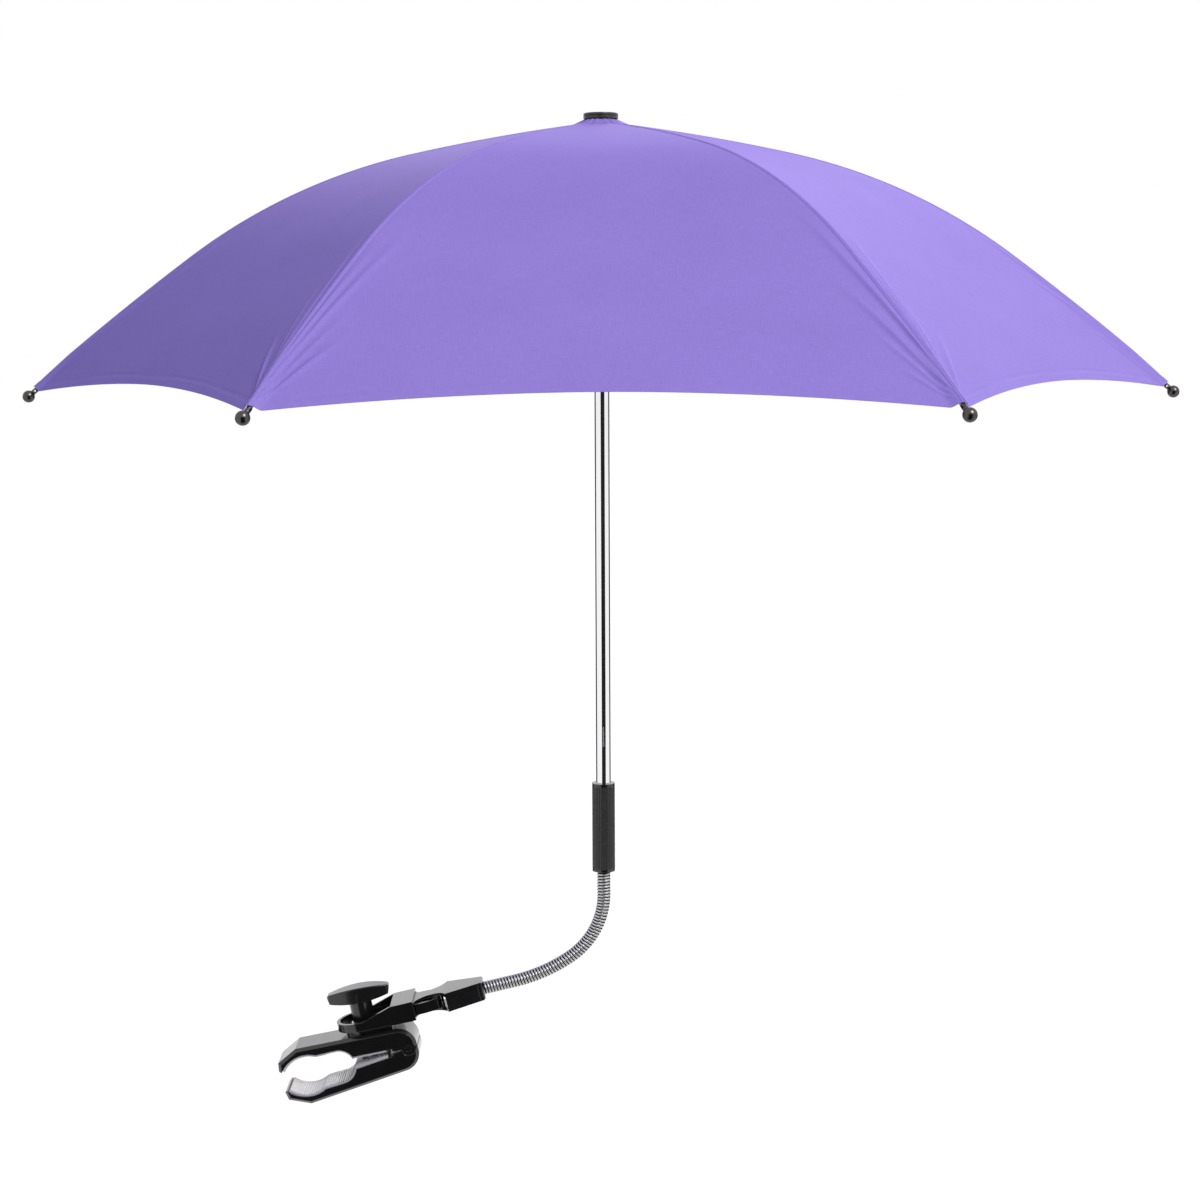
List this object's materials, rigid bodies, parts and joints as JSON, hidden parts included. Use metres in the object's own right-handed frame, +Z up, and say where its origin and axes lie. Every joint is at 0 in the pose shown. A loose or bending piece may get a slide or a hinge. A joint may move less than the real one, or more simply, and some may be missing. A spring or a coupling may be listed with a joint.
{
  "type": "pram parasol",
  "caption": "Folding fabric sunshade for a pushchair on a bendable neck, with a quick-release plug and a screw clamp that grips a round handle tube.",
  "frame": {"origin": "axis of the round tube that the clamp grips, midway across the jaw pads", "axes": "+Z up along the pole, +X from the clamp towards the pole, +Y along the gripped tube"},
  "size_m": [0.7583, 0.6578, 0.6569],
  "materials": {
    "jaw_plastic": "fine satin, slightly glossy",
    "pad_rubber": "frosted, slightly see-through",
    "knob_plastic": "satin",
    "bracket_plastic": "satin",
    "plug_plastic": "satin with a soft sheen",
    "arm_plastic": "glossy",
    "fastener_steel": "zinc plated",
    "washer_nylon": "matt nylon",
    "hose_steel": "wound metal, polished",
    "sleeve_plastic": "matt, fluted",
    "pole_chrome": "mirror chrome",
    "frame_steel": "plated wire",
    "hub_plastic": "satin",
    "tip_metal": "dark glossy",
    "cap_plastic": "matt",
    "canopy_fabric": "woven polyester, faint sheen"
  },
  "bodies": {
    "upper_clamp": {"upper_jaw": "jaw_plastic", "upper_jaw_pad": "pad_rubber", "hinge_pin": "fastener_steel", "friction_washer": "washer_nylon"},
    "lower_clamp": {"lower_jaw": "jaw_plastic", "lower_jaw_pad": "pad_rubber"},
    "nut": {"clamp_nut": "fastener_steel"},
    "knob": {"clamp_knob": "knob_plastic", "clamp_screw": "fastener_steel", "knob_washer": "fastener_steel"},
    "bracket": {"swivel_bracket": "bracket_plastic"},
    "plug": {"plug_body": "plug_plastic", "plug_end_cap": "plug_plastic"},
    "front_arm": {"latch_arm_front": "arm_plastic"},
    "rear_arm": {"latch_arm_rear": "arm_plastic"},
    "neck": {"gooseneck": "hose_steel"},
    "mast": {"sleeve": "sleeve_plastic", "pole": "pole_chrome", "crown": "hub_plastic", "crown_ring": "frame_steel", "canopy": "canopy_fabric", "canopy_cap": "cap_plastic"},
    "lower_catch_leaf": {"lower_catch": "fastener_steel"},
    "upper_catch_leaf": {"upper_catch": "fastener_steel"},
    "runner_ring_body": {"runner": "hub_plastic", "runner_ring": "frame_steel"},
    "rib_1_body": {"rib_1": "frame_steel", "rib_tip_1": "tip_metal"},
    "stretcher_1_body": {"stretcher_1": "frame_steel"},
    "rib_2_body": {"rib_2": "frame_steel", "rib_tip_2": "tip_metal"},
    "stretcher_2_body": {"stretcher_2": "frame_steel"},
    "rib_3_body": {"rib_3": "frame_steel", "rib_tip_3": "tip_metal"},
    "stretcher_3_body": {"stretcher_3": "frame_steel"},
    "rib_4_body": {"rib_4": "frame_steel", "rib_tip_4": "tip_metal"},
    "stretcher_4_body": {"stretcher_4": "frame_steel"},
    "rib_5_body": {"rib_5": "frame_steel", "rib_tip_5": "tip_metal"},
    "stretcher_5_body": {"stretcher_5": "frame_steel"},
    "rib_6_body": {"rib_6": "frame_steel", "rib_tip_6": "tip_metal"},
    "stretcher_6_body": {"stretcher_6": "frame_steel"}
  },
  "joints": [
    {"name": "knob_turn", "type": "hinge", "parent": "upper_clamp", "child": "knob", "pos_m": [0.0165, 0, 0.02715], "axis": [-0.1959, 0, 0.9806], "range_deg": [-1390, 1264]},
    {"name": "jaw_hinge", "type": "hinge", "parent": "upper_clamp", "child": "lower_clamp", "pos_m": [0.0469, 0, 0.01283], "axis": [0, -1, 0], "range_deg": [-7.7, 7]},
    {"name": "nut_travel", "type": "slide", "parent": "upper_clamp", "child": "nut", "axis": [0.1959, 0, -0.9806], "range_m": [-0.00387, 0.00352]},
    {"name": "bracket_swivel", "type": "hinge", "parent": "upper_clamp", "child": "bracket", "pos_m": [0.0165, 0, 0.02715], "axis": [-0.1959, 0, 0.9806], "continuous": true},
    {"name": "plug_release", "type": "slide", "parent": "bracket", "child": "plug", "axis": [0.9732, 0, 0.23], "range_m": [0, 0.014]},
    {"name": "front_arm_squeeze", "type": "hinge", "parent": "plug", "child": "front_arm", "pos_m": [0.06628, -0.007, 0.04285], "axis": [0.23, 0, -0.9732], "range_deg": [0, 6.1]},
    {"name": "rear_arm_squeeze", "type": "hinge", "parent": "plug", "child": "rear_arm", "pos_m": [0.06628, 0.007, 0.04285], "axis": [-0.23, 0, 0.9732], "range_deg": [0, 6.1]},
    {"name": "neck_bend", "type": "hinge", "parent": "plug", "child": "neck", "pos_m": [0.12908, 0, 0.05825], "axis": [0, 1, 0], "range_deg": [-45, 45], "deforming": ["gooseneck"]},
    {"name": "neck_sway", "type": "hinge", "parent": "neck", "child": "mast", "pos_m": [0.1764, 0, 0.09908], "axis": [0.9519, 0, -0.3063], "range_deg": [-45, 45]},
    {"name": "lower_catch_press", "type": "slide", "parent": "mast", "child": "lower_catch_leaf", "axis": [0, 1, 0], "range_m": [0, 0.0018], "stiffness_N_per_m": 400, "springref_m": -0.002},
    {"name": "upper_catch_press", "type": "slide", "parent": "mast", "child": "upper_catch_leaf", "axis": [0, 1, 0], "range_m": [0, 0.0018], "stiffness_N_per_m": 400, "springref_m": -0.002},
    {"name": "rib_1_fold", "type": "hinge", "parent": "mast", "child": "rib_1_body", "pos_m": [0.18793, 0, 0.62159], "axis": [0, 1, 0], "range_deg": [0, 62.5], "deforming": ["canopy"]},
    {"name": "stretcher_1_swing", "type": "hinge", "parent": "rib_1_body", "child": "stretcher_1_body", "pos_m": [0.35901, 0, 0.58473], "axis": [0, -1, 0], "range_deg": [0, 125.1]},
    {"name": "rib_2_fold", "type": "hinge", "parent": "mast", "child": "rib_2_body", "pos_m": [0.18343, 0.00779, 0.62159], "axis": [-0.866, 0.5, 0], "range_deg": [0, 62.6]},
    {"name": "stretcher_2_swing", "type": "hinge", "parent": "rib_2_body", "child": "stretcher_2_body", "pos_m": [0.26897, 0.15595, 0.58473], "axis": [0.866, -0.5, 0], "range_deg": [0, 125.1]},
    {"name": "rib_3_fold", "type": "hinge", "parent": "mast", "child": "rib_3_body", "pos_m": [0.17443, 0.00779, 0.62159], "axis": [-0.866, -0.5, 0], "range_deg": [0, 62.6]},
    {"name": "stretcher_3_swing", "type": "hinge", "parent": "rib_3_body", "child": "stretcher_3_body", "pos_m": [0.08889, 0.15595, 0.58473], "axis": [0.866, 0.5, 0], "range_deg": [0, 125.1]},
    {"name": "rib_4_fold", "type": "hinge", "parent": "mast", "child": "rib_4_body", "pos_m": [0.16993, 0, 0.62159], "axis": [0, -1, 0], "range_deg": [0, 62.6]},
    {"name": "stretcher_4_swing", "type": "hinge", "parent": "rib_4_body", "child": "stretcher_4_body", "pos_m": [-0.00114, 0, 0.58473], "axis": [0, 1, 0], "range_deg": [0, 125.1]},
    {"name": "rib_5_fold", "type": "hinge", "parent": "mast", "child": "rib_5_body", "pos_m": [0.17443, -0.00779, 0.62159], "axis": [0.866, -0.5, 0], "range_deg": [0, 62.6]},
    {"name": "stretcher_5_swing", "type": "hinge", "parent": "rib_5_body", "child": "stretcher_5_body", "pos_m": [0.08889, -0.15595, 0.58473], "axis": [-0.866, 0.5, 0], "range_deg": [0, 125.1]},
    {"name": "rib_6_fold", "type": "hinge", "parent": "mast", "child": "rib_6_body", "pos_m": [0.18343, -0.00779, 0.62159], "axis": [0.866, 0.5, 0], "range_deg": [0, 62.6]},
    {"name": "stretcher_6_swing", "type": "hinge", "parent": "rib_6_body", "child": "stretcher_6_body", "pos_m": [0.26897, -0.15595, 0.58473], "axis": [-0.866, -0.5, 0], "range_deg": [0, 125.1]},
    {"name": "runner_slide", "type": "hinge", "parent": "stretcher_1_body", "child": "runner_ring_body", "pos_m": [0.18793, 0, 0.54788], "axis": [0, 1, 0], "range_deg": [0, 62.6]}
  ],
  "couplings": [
    {"joint": "jaw_hinge", "follows": "knob_turn", "ratio": 0.005534},
    {"joint": "nut_travel", "follows": "knob_turn", "m_per_rad": 0.00015915},
    {"joint": "front_arm_squeeze", "follows": "plug_release", "rad_per_m": 7.48},
    {"joint": "rear_arm_squeeze", "follows": "plug_release", "rad_per_m": 7.48},
    {"joint": "stretcher_1_swing", "follows": "rib_1_fold", "ratio": 2},
    {"joint": "rib_2_fold", "follows": "rib_1_fold", "ratio": 1},
    {"joint": "stretcher_2_swing", "follows": "rib_1_fold", "ratio": 2},
    {"joint": "rib_3_fold", "follows": "rib_1_fold", "ratio": 1},
    {"joint": "stretcher_3_swing", "follows": "rib_1_fold", "ratio": 2},
    {"joint": "rib_4_fold", "follows": "rib_1_fold", "ratio": 1},
    {"joint": "stretcher_4_swing", "follows": "rib_1_fold", "ratio": 2},
    {"joint": "rib_5_fold", "follows": "rib_1_fold", "ratio": 1},
    {"joint": "stretcher_5_swing", "follows": "rib_1_fold", "ratio": 2},
    {"joint": "rib_6_fold", "follows": "rib_1_fold", "ratio": 1},
    {"joint": "stretcher_6_swing", "follows": "rib_1_fold", "ratio": 2},
    {"joint": "runner_slide", "follows": "rib_1_fold", "ratio": 1}
  ]
}
